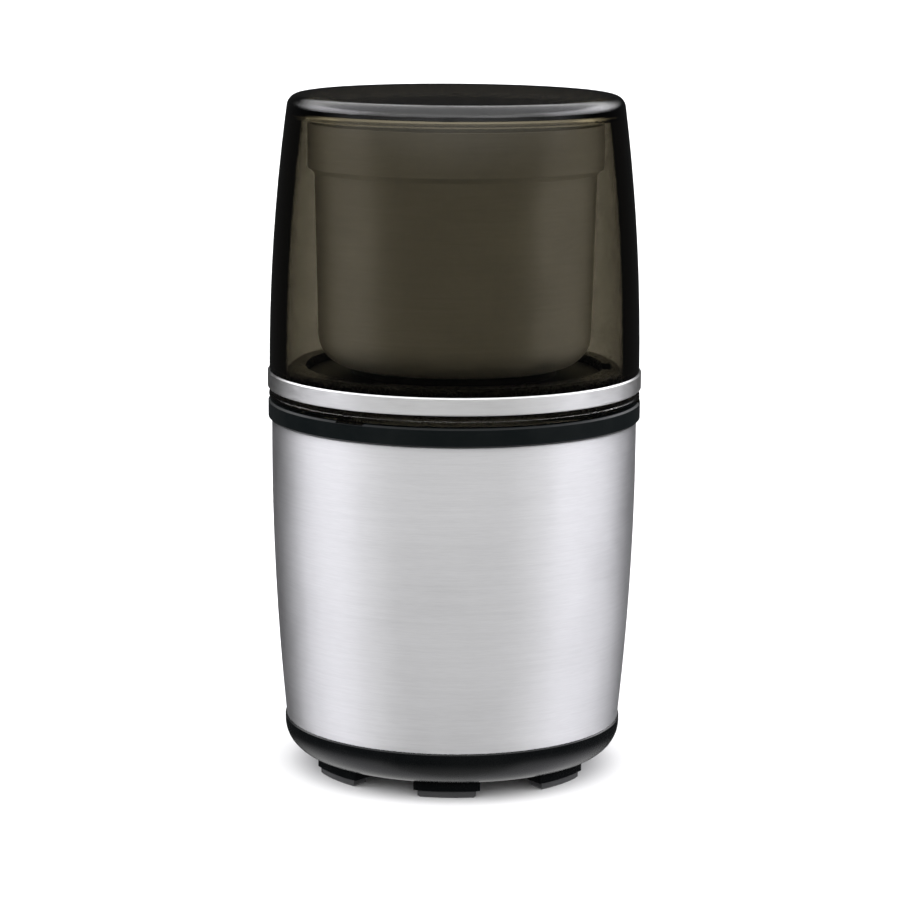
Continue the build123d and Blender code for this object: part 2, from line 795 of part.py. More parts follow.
# ================================================================ lid
key_half = half_angle_of(key_width, key_outer)
key_shapes = sectors(key_inner, key_outer, key_angles, key_half)
key_pads = sectors(key_inner, flange_radius, key_angles, key_half)
with BuildPart() as lid_dome:
    with BuildSketch(Plane.XZ) as section:
        with BuildLine():
            outer = TangentArc((dome_radius, band_top), (crown_radius, lid_top), tangent=(0, 1))
            inner = TangentArc((lid_bore, band_top), (crown_bore, lid_ceiling), tangent=(0, 1))
            Polyline(outer @ 1, (0, lid_top), (0, lid_ceiling), inner @ 1)
            Polyline(
                inner @ 0,
                (lid_bore, lid_bottom),
                (flange_radius - flange_undercut, lid_bottom),
                (flange_radius, flange_top - flange_lip),
                (flange_radius, flange_top),
                (groove_radius, flange_top),
                (groove_radius, band_top),
                outer @ 0,
            )
        make_face()
        top_corner = section.vertices().group_by(Axis.Y)[-1].sort_by(Axis.X)[-1]
        fillet(top_corner, dome_round)
        ceiling_corners = section.vertices().filter_by(
            lambda corner: abs(corner.Y - lid_ceiling) < press_fit and corner.X > crown_round
        )
        fillet(ceiling_corners, crown_round)
        flange_corner = section.vertices().sort_by_distance((flange_radius, flange_top))[0]
        fillet(flange_corner, flange_round)
    revolve(axis=Axis.Z)
    with BuildSketch(Plane.XY.offset(key_bottom)):
        add(key_shapes)
    extrude(amount=key_length + flange_height / 2)
    with BuildSketch(Plane.XY.offset(lid_bottom - key_tab)):
        add(key_pads)
    extrude(amount=key_tab + flange_height - flange_round)
    with Locations((0, 0, lid_top)):
        Hole(gate_mark_radius, gate_mark_depth)
lid_dome.part.label = "lid_dome"
export_step(lid_dome.part, "parts/lid_dome.step")

with BuildPart() as lid_band:
    with BuildSketch(Plane.XY.offset(groove_top)):
        Circle(band_radius)
        Circle(groove_radius, mode=Mode.SUBTRACT)
    extrude(amount=band_height)
    rims = lid_band.edges().filter_by(GeomType.CIRCLE).sort_by(SortBy.RADIUS)[-2:]
    chamfer(rims, band_chamfer)
lid_band.part.label = "lid_band"
export_step(lid_band.part, "parts/lid_band.step")

# ================================================================ bowl
rivet_places = [polar(rivet_circle_radius, i * 360 / rivet_count) for i in range(rivet_count)]
with BuildPart() as grinding_bowl:
    with BuildSketch(Plane.XZ) as section:
        with BuildLine():
            Polyline(
                (bush_radius, bowl_bottom),
                (bowl_foot_radius, bowl_bottom),
                (bowl_radius, rim_bottom - rim_slope),
                (rim_radius, rim_bottom),
                (rim_radius, bowl_top),
                (rim_radius - bowl_wall, bowl_top),
                (rim_radius - bowl_wall, rim_bottom),
                (bowl_radius - bowl_wall, rim_bottom - rim_slope),
                (bowl_foot_radius - bowl_wall, bowl_floor),
                (bush_radius, bowl_floor),
                close=True,
            )
        make_face()
        lower = section.vertices().group_by(Axis.Y)[0].sort_by(Axis.X)[-1]
        fillet(lower, bowl_corner)
        upper = section.vertices().filter_by(
            lambda corner: abs(corner.Y - bowl_floor) < press_fit and corner.X > 2 * bush_radius
        )
        fillet(upper, bowl_corner - bowl_wall)
    revolve(axis=Axis.Z)
    with Locations(*[(*place, bowl_floor) for place in rivet_places]):
        Hole(rivet_radius, bowl_wall)
grinding_bowl.part.label = "grinding_bowl"
export_step(grinding_bowl.part, "parts/grinding_bowl.step")

lug_shapes = sectors(
    bowl_base_radius - lug_reach, bowl_base_radius + fit + lug_reach, lug_angles, lug_half_angle
)
with BuildPart() as bowl_base:
    with BuildSketch(Plane.XY.offset(bowl_base_bottom)):
        Circle(bowl_base_radius)
    extrude(amount=bowl_plate)
    with BuildSketch(Plane.XY.offset(bowl_plate_top)):
        Circle(bowl_drum_radius)
    extrude(amount=bowl_drum)
    with BuildSketch(Plane.XY.offset(hub_bottom)):
        Circle(bush_radius + hub_wall)
    extrude(amount=hub_drop)
    with BuildSketch(Plane.XY.offset(bowl_base_bottom)):
        add(lug_shapes)
    extrude(amount=lug_height)
    with Locations((0, 0, bowl_bottom)):
        Hole(bush_radius)
    with Locations(*[(*place, bowl_bottom) for place in rivet_places]):
        Hole(rivet_radius, rivet_grip)
bowl_base.part.label = "bowl_base"
export_step(bowl_base.part, "parts/bowl_base.step")

bush_top = bowl_floor + bush_height
with BuildPart() as bowl_bushing:
    with BuildSketch(Plane.XY.offset(hub_bottom)):
        Circle(bush_radius)
        Circle(spindle_radius + shaft_fit, mode=Mode.SUBTRACT)
    extrude(amount=bush_top - hub_bottom)
bowl_bushing.part.label = "bowl_bushing"
export_step(bowl_bushing.part, "parts/bowl_bushing.step")

with BuildPart() as bowl_shaft_seal:
    with BuildSketch(Plane.XY.offset(bowl_floor)):
        Circle(bush_radius + seal_wall)
        Circle(bush_radius, mode=Mode.SUBTRACT)
    extrude(amount=bush_height)
    with BuildSketch(Plane.XY.offset(bush_top)):
        Circle(bush_radius + seal_wall)
        Circle(spindle_radius + shaft_fit, mode=Mode.SUBTRACT)
    extrude(amount=seal_height, taper=seal_taper)
bowl_shaft_seal.part.label = "bowl_shaft_seal"
export_step(bowl_shaft_seal.part, "parts/bowl_shaft_seal.step")

with BuildPart() as bowl_rivets:
    with BuildSketch(Plane.XY.offset(bowl_bottom - rivet_grip)):
        with Locations(*rivet_places):
            Circle(rivet_radius)
    extrude(amount=rivet_grip + bowl_wall)
    with BuildSketch(Plane.XY.offset(bowl_floor)):
        with Locations(*rivet_places):
            Circle(rivet_head)
    extrude(amount=rivet_head_height, taper=rivet_taper)
bowl_rivets.part.label = "bowl_rivets"
export_step(bowl_rivets.part, "parts/bowl_rivets.step")

# ================================================================ blade, spindle, coupling
blade_side = blade_width / 2
wing_start = nut_flats / 2 + wing_gap
blade_middle = blade_height + blade_thickness / 2
with BuildPart() as grinding_blade:
    with BuildSketch(Plane.XY.offset(blade_height)):
        Circle(blade_hub)
    extrude(amount=blade_thickness)
    for side, rise in ((0, blade_rise_angle), (180, -blade_rise_angle / 2)):
        wing = Plane(
            origin=(0, 0, blade_middle),
            x_dir=(*polar(cos(radians(rise)), side), sin(radians(rise))),
            z_dir=(*polar(-sin(radians(rise)), side), cos(radians(rise))),
        ).rotated((blade_pitch_angle, 0, 0))
        with BuildSketch(wing):
            with BuildLine():
                start = (wing_start, -blade_side)
                tip = (blade_reach, blade_tip_width)
                ThreePointArc(start, (blade_belly_length, -blade_side - blade_belly_depth), tip)
                Line(tip, (blade_shoulder_length, blade_side))
                Line((blade_shoulder_length, blade_side), (wing_start, blade_side))
                Line((wing_start, blade_side), start)
            make_face()
        extrude(amount=blade_thickness / 2, both=True)
    with Locations((0, 0, blade_height + blade_thickness)):
        Hole(spindle_radius)
grinding_blade.part.label = "grinding_blade"
export_step(grinding_blade.part, "parts/grinding_blade.step")

spindle_top = blade_height + blade_thickness + nut_height - blind_floor
with BuildPart() as blade_spindle:
    with BuildSketch(Plane.XY.offset(driven_bottom + blind_floor)):
        Circle(spindle_radius)
    extrude(amount=spindle_top - driven_bottom - blind_floor)
    with BuildSketch(Plane.XY.offset(bush_top + seal_height + fit)):
        Circle(spindle_radius + collar_web / 2)
    extrude(amount=blade_height - bush_top - seal_height - fit)
blade_spindle.part.label = "blade_spindle"
export_step(blade_spindle.part, "parts/blade_spindle.step")

with BuildPart() as blade_nut:
    with BuildSketch(Plane.XY.offset(blade_height + blade_thickness)):
        RegularPolygon(nut_flats / 2, 6, major_radius=False)
    extrude(amount=nut_height)
    chamfer(blade_nut.faces().sort_by(Axis.Z)[-1].edges(), nut_chamfer)
    with Locations(*from_below([(0, 0)], blade_height + blade_thickness)):
        Hole(spindle_radius, nut_height - blind_floor)
blade_nut.part.label = "blade_nut"
export_step(blade_nut.part, "parts/blade_nut.step")

with BuildPart() as spindle_washer:
    with BuildSketch(Plane.XY.offset(washer_bottom)):
        Circle(bush_radius)
        Circle(spindle_radius, mode=Mode.SUBTRACT)
    extrude(amount=washer_height)
spindle_washer.part.label = "spindle_washer"
export_step(spindle_washer.part, "parts/spindle_washer.step")

driven_dogs = sectors(dog_inner, coupling_radius, [0, 180], dog_half_angle)
with BuildPart() as driven_coupling:
    with BuildSketch(Plane.XY.offset(driven_bottom)):
        Circle(coupling_radius)
    extrude(amount=coupling_plate)
    with BuildSketch(Plane.XY.offset(dog_meet)):
        add(driven_dogs)
    extrude(amount=dog_height)
    with Locations((0, 0, driven_top)):
        Hole(spindle_radius, coupling_plate - blind_floor)
driven_coupling.part.label = "driven_coupling"
export_step(driven_coupling.part, "parts/driven_coupling.step")

drive_dogs = sectors(dog_inner, coupling_radius, [front, front + 180], dog_half_angle)
with BuildPart() as drive_coupling:
    with BuildSketch(Plane.XY.offset(drive_bottom)):
        Circle(coupling_radius)
    extrude(amount=coupling_plate)
    with BuildSketch(Plane.XY.offset(drive_top)):
        add(drive_dogs)
    extrude(amount=dog_height)
    with Locations(*from_below([(0, 0)], drive_bottom)):
        Hole(shaft_radius, coupling_plate - blind_floor)
drive_coupling.part.label = "drive_coupling"
export_step(drive_coupling.part, "parts/drive_coupling.step")

# ================================================================ motor: turning parts
shaft_bottom = frame_low
shaft_top = drive_bottom + coupling_plate - blind_floor
with BuildPart() as motor_shaft:
    with BuildSketch(Plane.XY.offset(shaft_bottom)):
        Circle(shaft_radius)
    extrude(amount=shaft_top - shaft_bottom)
    chamfer(motor_shaft.edges(), shaft_chamfer)
motor_shaft.part.label = "motor_shaft"
export_step(motor_shaft.part, "parts/motor_shaft.step")

with BuildPart() as armature_core:
    with BuildSketch(Plane.XY.offset(stack_bottom)):
        Circle(armature_radius)
        with PolarLocations(armature_radius, slot_count, 180 / slot_count):
            Rectangle(2 * tooth_tip + fit, slot_mouth, mode=Mode.SUBTRACT)
        Circle(slot_radius, mode=Mode.SUBTRACT)
        with PolarLocations(slot_radius / 2, slot_count):
            Rectangle(slot_radius + fit, tooth_wall)
        Circle(core_radius)
        Circle(shaft_radius, mode=Mode.SUBTRACT)
    extrude(amount=stack_height)
armature_core.part.label = "armature_core"
export_step(armature_core.part, "parts/armature_core.step")

with BuildPart() as armature_windings:
    with BuildSketch(Plane.XY.offset(stack_bottom - winding_drop)):
        Circle(slot_radius - fit)
        Circle(core_radius + fit, mode=Mode.SUBTRACT)
        with PolarLocations(slot_radius / 2, slot_count):
            Rectangle(slot_radius, tooth_wall + 2 * fit, mode=Mode.SUBTRACT)
    extrude(amount=stack_height + 2 * winding_drop)
    with BuildSketch(Plane.XY.offset(stack_bottom - winding_drop)):
        RegularPolygon(winding_radius, 2 * slot_count)
        Circle(shaft_radius, mode=Mode.SUBTRACT)
    extrude(amount=winding_drop)
    with BuildSketch(Plane.XY.offset(stack_top)):
        RegularPolygon(winding_radius, 2 * slot_count)
        Circle(shaft_radius, mode=Mode.SUBTRACT)
    extrude(amount=winding_drop)
armature_windings.part.label = "armature_windings"
export_step(armature_windings.part, "parts/armature_windings.step")

with BuildPart() as commutator:
    with BuildSketch(Plane.XY.offset(commutator_bottom)):
        Circle(commutator_radius)
        Circle(shaft_radius, mode=Mode.SUBTRACT)
        with PolarLocations(commutator_radius, slot_count):
            Rectangle(2 * bar_slit, bar_slit, mode=Mode.SUBTRACT)
    extrude(amount=commutator_height)
commutator.part.label = "commutator"
export_step(commutator.part, "parts/commutator.step")

fan_outer = fan_radius - fit
with BuildSketch() as fan_vane:
    with BuildLine():
        ThreePointArc((fan_hub - fit, 0), ((fan_hub + fan_outer) / 2, fan_blade_bow), (fan_outer, 0))
    trace(line_width=fan_blade_wall)
with BuildPart() as cooling_fan:
    with BuildSketch(Plane.XY.offset(fan_bottom)):
        Circle(fan_radius)
        Circle(shaft_radius, mode=Mode.SUBTRACT)
    extrude(amount=fan_plate)
    with BuildSketch(Plane.XY.offset(fan_bottom + fan_plate)):
        Circle(fan_hub)
        with PolarLocations(0, fan_blades):
            add(fan_vane.sketch)
        Circle(shaft_radius, mode=Mode.SUBTRACT)
    extrude(amount=fan_height)
cooling_fan.part.label = "cooling_fan"
export_step(cooling_fan.part, "parts/cooling_fan.step")

# ================================================================ motor: standing parts
bolt_places = corners(leg_x, leg_y)
with BuildPart() as stator_core:
    with BuildSketch(Plane.XY.offset(stack_bottom)):
        RectangleRounded(stator_width, stator_depth, stator_corner)
        Circle(bore_radius, mode=Mode.SUBTRACT)
        with Locations(*corners(window_x, window_y)):
            Rectangle(window_width, window_depth, mode=Mode.SUBTRACT)
        with Locations(*bolt_places):
            Circle(bolt_radius, mode=Mode.SUBTRACT)
    extrude(amount=stack_height)
stator_core.part.label = "stator_core"
export_step(stator_core.part, "parts/stator_core.step")

coil_width = window_width - 2 * coil_fit
coil_outer = window_y + window_depth / 2 - coil_fit
coil_inner = window_y - window_depth / 2 + coil_fit
coil_middle = stack_bottom + stack_height / 2
with BuildPart() as field_coils:
    for side in (-1, 1):
        with BuildSketch(Plane.YZ.offset(side * window_x - coil_width / 2)):
            with Locations((0, coil_middle)):
                RectangleRounded(2 * coil_outer, stack_height + 2 * coil_overhang, stator_corner)
                Rectangle(2 * coil_inner, stack_height + 2 * press_fit, mode=Mode.SUBTRACT)
        extrude(amount=coil_width)
field_coils.part.label = "field_coils"
export_step(field_coils.part, "parts/field_coils.step")

with BuildPart() as upper_bracket:
    with BuildSketch(Plane.XY.offset(frame_high)):
        RectangleRounded(stator_width, stator_depth, stator_corner)
        Rectangle(2 * (mount_x + mount_radius), 2 * (mount_y + mount_radius))
        Circle(bearing_upper_radius, mode=Mode.SUBTRACT)
        with Locations(*corners(0, (bearing_upper_radius + bearing_wall + leg_y) / 2)):
            Rectangle(stator_width / 2, frame_slot, mode=Mode.SUBTRACT)
    extrude(amount=frame_plate)
    with BuildSketch(Plane.XY.offset(frame_high)):
        Circle(bearing_upper_radius + bearing_wall)
        Circle(bearing_upper_radius, mode=Mode.SUBTRACT)
    extrude(amount=bearing_height)
    with BuildSketch(Plane.XY.offset(stack_top)):
        with Locations(*bolt_places):
            Circle(frame_leg)
    extrude(amount=frame_high - stack_top)
    with Locations(*from_below(bolt_places, stack_top)):
        Hole(bolt_radius, upper_gap + frame_plate)
    with Locations(*from_below(motor_mounts, frame_high)):
        Hole(pilot_radius + fit, frame_plate)
upper_bracket.part.label = "upper_bracket"
export_step(upper_bracket.part, "parts/upper_bracket.step")

with BuildPart() as lower_bracket:
    with BuildSketch(Plane.XY.offset(frame_low)):
        RectangleRounded(stator_width, stator_depth, stator_corner)
        Circle(bearing_lower_radius, mode=Mode.SUBTRACT)
        with Locations(*corners((bearing_lower_radius + bearing_wall + leg_x) / 2, 0)):
            Rectangle(frame_slot, stator_depth / 2, mode=Mode.SUBTRACT)
    extrude(amount=frame_plate)
    with BuildSketch(Plane.XY.offset(frame_low + frame_plate)):
        Circle(bearing_lower_radius + bearing_wall)
        Circle(bearing_lower_radius, mode=Mode.SUBTRACT)
    extrude(amount=bearing_height - frame_plate)
    with BuildSketch(Plane.XY.offset(frame_low + frame_plate)):
        with Locations(*bolt_places):
            Circle(frame_leg)
    extrude(amount=lower_gap)
    with Locations(*from_below(bolt_places, frame_low)):
        Hole(bolt_radius, lower_gap + frame_plate)
lower_bracket.part.label = "lower_bracket"
export_step(lower_bracket.part, "parts/lower_bracket.step")

with BuildPart() as upper_bearing:
    with BuildSketch(Plane.XY.offset(frame_high)):
        Circle(bearing_upper_radius)
        Circle(shaft_radius + shaft_fit, mode=Mode.SUBTRACT)
    extrude(amount=bearing_height)
upper_bearing.part.label = "upper_bearing"
export_step(upper_bearing.part, "parts/upper_bearing.step")

with BuildPart() as lower_bearing:
    with BuildSketch(Plane.XY.offset(frame_low)):
        Circle(bearing_lower_radius)
        Circle(shaft_radius + shaft_fit, mode=Mode.SUBTRACT)
    extrude(amount=bearing_height)
lower_bearing.part.label = "lower_bearing"
export_step(lower_bearing.part, "parts/lower_bearing.step")

with BuildPart() as motor_bolts:
    with BuildSketch(Plane.XY.offset(frame_low - screw_head)):
        with Locations(*bolt_places):
            Circle(bolt_head)
    extrude(amount=screw_head)
    with BuildSketch(Plane.XY.offset(frame_low)):
        with Locations(*bolt_places):
            Circle(bolt_radius)
    extrude(amount=frame_high + frame_plate - frame_low)
motor_bolts.part.label = "motor_bolts"
export_step(motor_bolts.part, "parts/motor_bolts.step")

holder_middle = holder_inner + holder_length / 2
with BuildPart() as brush_holders:
    for side in (-1, 1):
        with BuildSketch(Plane.XY.offset(frame_low + frame_plate)):
            with Locations((0, side * holder_middle)):
                Rectangle(brush_width + 2 * holder_wall, holder_length)
        extrude(amount=brush_middle + brush_height / 2 + holder_wall - frame_low - frame_plate)
    with BuildSketch(Plane.XZ.offset(-holder_inner - holder_length)):
        with Locations((0, brush_middle)):
            Rectangle(brush_width + press_fit, brush_height + press_fit)
    extrude(amount=2 * (holder_inner + holder_length), mode=Mode.SUBTRACT)
    with BuildSketch(Plane.XY.offset(frame_low + frame_plate)):
        Circle(bearing_lower_radius + bearing_wall + fit)
    extrude(amount=bearing_height - frame_plate + fit, mode=Mode.SUBTRACT)
brush_holders.part.label = "brush_holders"
export_step(brush_holders.part, "parts/brush_holders.step")

with BuildPart() as carbon_brushes:
    for side in (-1, 1):
        with BuildSketch(Plane.XY.offset(brush_middle - brush_height / 2)):
            with Locations((0, side * (brush_inner + brush_length / 2))):
                Rectangle(brush_width, brush_length)
        extrude(amount=brush_height)
carbon_brushes.part.label = "carbon_brushes"
export_step(carbon_brushes.part, "parts/carbon_brushes.step")

leaf_inner = brush_inner + brush_length
leaf_outer = holder_inner + holder_length
leaf_rise = brush_height / 4
leaf_width = brush_width / 2
with BuildPart() as brush_springs:
    for side in (-1, 1):
        with BuildSketch(Plane.YZ.offset(-leaf_width / 2)):
            with BuildLine():
                Polyline(
                    (side * leaf_inner, brush_middle - leaf_rise),
                    (side * (leaf_inner + leaf_wall), brush_middle - leaf_rise),
                    (side * (leaf_outer + leaf_wall), brush_middle + leaf_rise),
                    (side * (leaf_outer + leaf_wall), brush_middle + brush_height / 2 + holder_wall),
                    (side * leaf_outer, brush_middle + brush_height / 2 + holder_wall),
                    (side * leaf_outer, brush_middle + leaf_rise + leaf_wall),
                    (side * leaf_inner, brush_middle - leaf_rise + leaf_wall),
                    close=True,
                )
            make_face()
        extrude(amount=leaf_width)
brush_springs.part.label = "brush_springs"
export_step(brush_springs.part, "parts/brush_springs.step")

with BuildPart() as rubber_mounts:
    with BuildSketch(Plane.XY.offset(frame_high + frame_plate)):
        with Locations(*motor_mounts):
            Circle(mount_radius)
            Circle(pilot_radius + fit, mode=Mode.SUBTRACT)
    extrude(amount=mount_height)
rubber_mounts.part.label = "rubber_mounts"
export_step(rubber_mounts.part, "parts/rubber_mounts.step")

with BuildPart() as mount_screws:
    with BuildSketch(Plane.XY.offset(frame_high - screw_head)):
        with Locations(*motor_mounts):
            Circle(bolt_head)
    extrude(amount=screw_head)
    with BuildSketch(Plane.XY.offset(frame_high)):
        with Locations(*motor_mounts):
            Circle(pilot_radius)
    extrude(amount=deck_bottom - frame_high - blind_floor)
mount_screws.part.label = "mount_screws"
export_step(mount_screws.part, "parts/mount_screws.step")

with BuildPart() as thermal_fuse:
    with BuildSketch(Plane.XZ.offset(-fuse_length / 2)):
        with Locations((window_x, stack_bottom - coil_overhang - fuse_radius)):
            Circle(fuse_radius)
    extrude(amount=fuse_length)
thermal_fuse.part.label = "thermal_fuse"
export_step(thermal_fuse.part, "parts/thermal_fuse.step")

# ================================================================ safety switch
with BuildPart() as interlock_rod:
    with BuildSketch(switch_plane.offset(rod_bottom)):
        with Locations((rod_place, 0)):
            Circle(rod_radius)
    extrude(amount=rod_length)
interlock_rod.part.label = "interlock_rod"
export_step(interlock_rod.part, "parts/interlock_rod.step")

switch_middle = (switch_inner + switch_outer) / 2
plunger_place = (rod_place - lever_width / 2, lever_arm - plunger_arm)
with BuildPart() as microswitch:
    with BuildSketch(switch_plane.offset(switch_bottom)):
        with Locations((switch_middle, (switch_back - switch_ahead) / 2)):
            Rectangle(switch_wall, switch_length)
    extrude(amount=switch_height)
    with BuildSketch(switch_plane.offset(switch_bottom - terminal_drop)):
        with Locations(*[(switch_middle, y) for y in terminal_places]):
            Rectangle(switch_wall / 2, terminal_wall)
    extrude(amount=terminal_drop)
    with BuildSketch(switch_plane.offset(switch_top)):
        with Locations(((switch_inner + lever_inner - fit) / 2, lever_arm)):
            Rectangle(lever_inner - fit - switch_inner, 2 * ear_half)
    extrude(amount=pivot_height + ear_half - switch_top)
    with BuildSketch(switch_plane.offset(switch_top)):
        with Locations(plunger_place):
            Circle(plunger_radius + shaft_fit)
    extrude(amount=-plunger_depth - plunger_travel - fit, mode=Mode.SUBTRACT)
    with BuildSketch(pin_plane):
        with Locations((lever_arm, pivot_height)):
            Circle(lever_pin)
    extrude(amount=lever_width)
    with BuildSketch(screw_plane):
        with Locations(*switch_screw_spots):
            Circle(switch_screw_radius)
    extrude(amount=switch_block + switch_wall, mode=Mode.SUBTRACT)
microswitch.part.label = "microswitch"
export_step(microswitch.part, "parts/microswitch.step")

with BuildPart() as switch_screws:
    with BuildSketch(screw_plane):
        with Locations(*switch_screw_spots):
            Circle(switch_screw_radius)
    extrude(amount=switch_block + switch_wall - blind_floor)
    with BuildSketch(screw_plane):
        with Locations(*switch_screw_spots):
            Circle(switch_screw_radius * 2)
    extrude(amount=-screw_head)
switch_screws.part.label = "switch_screws"
export_step(switch_screws.part, "parts/switch_screws.step")

with BuildPart() as switch_lever:
    with BuildSketch(pin_plane.offset(fit)):
        with BuildLine():
            Polyline(
                (-lever_overhang, lever_bottom),
                (lever_arm, lever_bottom),
                (lever_arm, pivot_height),
                (lever_arm + lever_eye, pivot_height),
                (lever_arm + lever_eye, lever_top),
                (-lever_overhang, lever_top),
                close=True,
            )
        make_face()
        with Locations((lever_arm, pivot_height)):
            Circle(lever_eye)
            Circle(lever_pin + shaft_fit, mode=Mode.SUBTRACT)
    extrude(amount=lever_width)
switch_lever.part.label = "switch_lever"
export_step(switch_lever.part, "parts/switch_lever.step")

with BuildPart() as switch_plunger:
    with BuildSketch(switch_plane.offset(switch_top - plunger_depth)):
        with Locations(plunger_place):
            Circle(plunger_radius)
    extrude(amount=plunger_top - switch_top + plunger_depth)
switch_plunger.part.label = "switch_plunger"
export_step(switch_plunger.part, "parts/switch_plunger.step")
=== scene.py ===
import json
from functools import reduce
from math import cos, pi, radians, sin

import bpy
from mathutils import Matrix


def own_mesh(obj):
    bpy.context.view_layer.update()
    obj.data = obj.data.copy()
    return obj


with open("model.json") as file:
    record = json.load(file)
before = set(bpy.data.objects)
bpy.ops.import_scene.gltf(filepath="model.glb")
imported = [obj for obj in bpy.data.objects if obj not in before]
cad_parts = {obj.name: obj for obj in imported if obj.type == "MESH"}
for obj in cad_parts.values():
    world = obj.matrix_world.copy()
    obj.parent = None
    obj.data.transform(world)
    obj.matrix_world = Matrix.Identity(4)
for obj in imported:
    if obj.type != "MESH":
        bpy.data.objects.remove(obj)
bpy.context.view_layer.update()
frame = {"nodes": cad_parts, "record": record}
nodes = frame["nodes"]

MM = 0.001
WHITE = (1, 1, 1)


# ------------------------------------------------------------------ node helpers
class Nodes:
    """A node tree, with short names for what is used often in it."""

    def __init__(self, tree):
        self.tree = tree

    def node(self, kind, **settings):
        made = self.tree.nodes.new(kind)
        for key, value in settings.items():
            setattr(made, key, value)
        return made

    def link(self, output, socket):
        self.tree.links.new(output, socket)

    def put(self, socket, value):
        """A number or colour stays on the socket, an output is linked to it."""
        if isinstance(value, bpy.types.NodeSocket):
            self.link(value, socket)
        elif socket.type == "RGBA":
            socket.default_value = (*value, 1)
        else:
            socket.default_value = value

    def math(self, operation, *values):
        made = self.node("ShaderNodeMath", operation=operation)
        for place, value in enumerate(values):
            self.put(made.inputs[place], value)
        return made.outputs[0]

    def plus(self, *values):
        return reduce(lambda a, b: self.math("ADD", a, b), values)

    def times(self, *values):
        return reduce(lambda a, b: self.math("MULTIPLY", a, b), values)

    def minus(self, a, b):
        return self.math("SUBTRACT", a, b)

    def ramp(self, value, limits, ends, kind="LINEAR"):
        """Maps a value between two limits to two ends, and holds the ends outside the limits."""
        made = self.node("ShaderNodeMapRange", interpolation_type=kind)
        self.link(value, made.inputs["Value"])
        for name, number in zip(("From Min", "From Max", "To Min", "To Max"), (*limits, *ends)):
            made.inputs[name].default_value = number
        return made.outputs["Result"]

    def mix(self, share, first, second):
        """The first colour where share is 0, the second where it is 1."""
        made = self.node("ShaderNodeMix", data_type="RGBA")
        self.put(made.inputs[0], share)
        self.put(made.inputs["A"], first)
        self.put(made.inputs["B"], second)
        return made.outputs["Result"]

    def seen_directly(self):
        """1 for what the viewer sees, also through clear walls, and 0 for light and reflections."""
        path = self.node("ShaderNodeLightPath").outputs
        bounces = self.plus(path["Glossy Depth"], path["Diffuse Depth"])
        passing = self.math("MAXIMUM", path["Is Camera Ray"], path["Is Transmission Ray"])
        return self.times(self.math("LESS_THAN", bounces, 0.5), passing)


class Material(Nodes):
    """A material with one shader, whose textures lie in the object's own frame."""

    def __init__(self, name):
        self.material = bpy.data.materials.new(name)
        self.material.use_nodes = True
        super().__init__(self.material.node_tree)
        self.tree.nodes.clear()
        self.out = self.node("ShaderNodeOutputMaterial")
        self.main = self.node("ShaderNodeBsdfPrincipled")
        self.link(self.main.outputs["BSDF"], self.out.inputs["Surface"])
        self.place = self.node("ShaderNodeTexCoord").outputs["Object"]

    def set(self, **values):
        """Sets the shader's sockets by name, as in base_color for Base Color."""
        for key, value in values.items():
            self.put(self.main.inputs[key.replace("_", " ").title().replace("Ior", "IOR")], value)

    def noise(self, scale, detail=3.0, rough=0.5, place=None):
        made = self.node("ShaderNodeTexNoise")
        self.link(self.place if place is None else place, made.inputs["Vector"])
        made.inputs["Scale"].default_value = scale
        made.inputs["Detail"].default_value = detail
        made.inputs["Roughness"].default_value = rough
        return made.outputs["Fac"]

    def spread(self, noise, low, high, limits=(0.3, 0.7)):
        """Maps a noise, most of which lies within the limits, to low..high."""
        return self.ramp(noise, limits, (low, high))

    def stretched(self, scale):
        made = self.node("ShaderNodeMapping")
        self.link(self.place, made.inputs["Vector"])
        made.inputs["Scale"].default_value = scale
        return made.outputs["Vector"]

    def brushed(self, along, across):
        """Coordinates that change slowly round +Z and fast along it and outward."""
        parts = self.node("ShaderNodeSeparateXYZ")
        self.link(self.place, parts.inputs[0])
        x, y, z = parts.outputs
        radius = self.math("SQRT", self.plus(self.times(x, x), self.times(y, y)))
        joined = self.node("ShaderNodeCombineXYZ")
        self.link(self.times(x, along), joined.inputs[0])
        self.link(self.times(y, along), joined.inputs[1])
        self.link(self.times(self.plus(z, radius), across), joined.inputs[2])
        return joined.outputs[0]

    def bump(self, height, strength, distance):
        made = self.node("ShaderNodeBump")
        self.link(height, made.inputs["Height"])
        made.inputs["Strength"].default_value = strength
        made.inputs["Distance"].default_value = distance
        self.link(made.outputs["Normal"], self.main.inputs["Normal"])


# ------------------------------------------------------------------ materials
# brushing: how much shorter and finer its lines are, and how much wider its streaks
LINES_ALONG = 9.0
LINES_ACROSS = 1.7
STREAKS_ACROSS = 0.4
LINE_SHARE = 0.65
QUARTER_TURN = 0.25

CLOUD_SIZE = 14  # grains of plain metal across one cloud of its tone
ACRYLIC_IOR = 1.49


def grey(tone):
    return (tone, tone, tone)


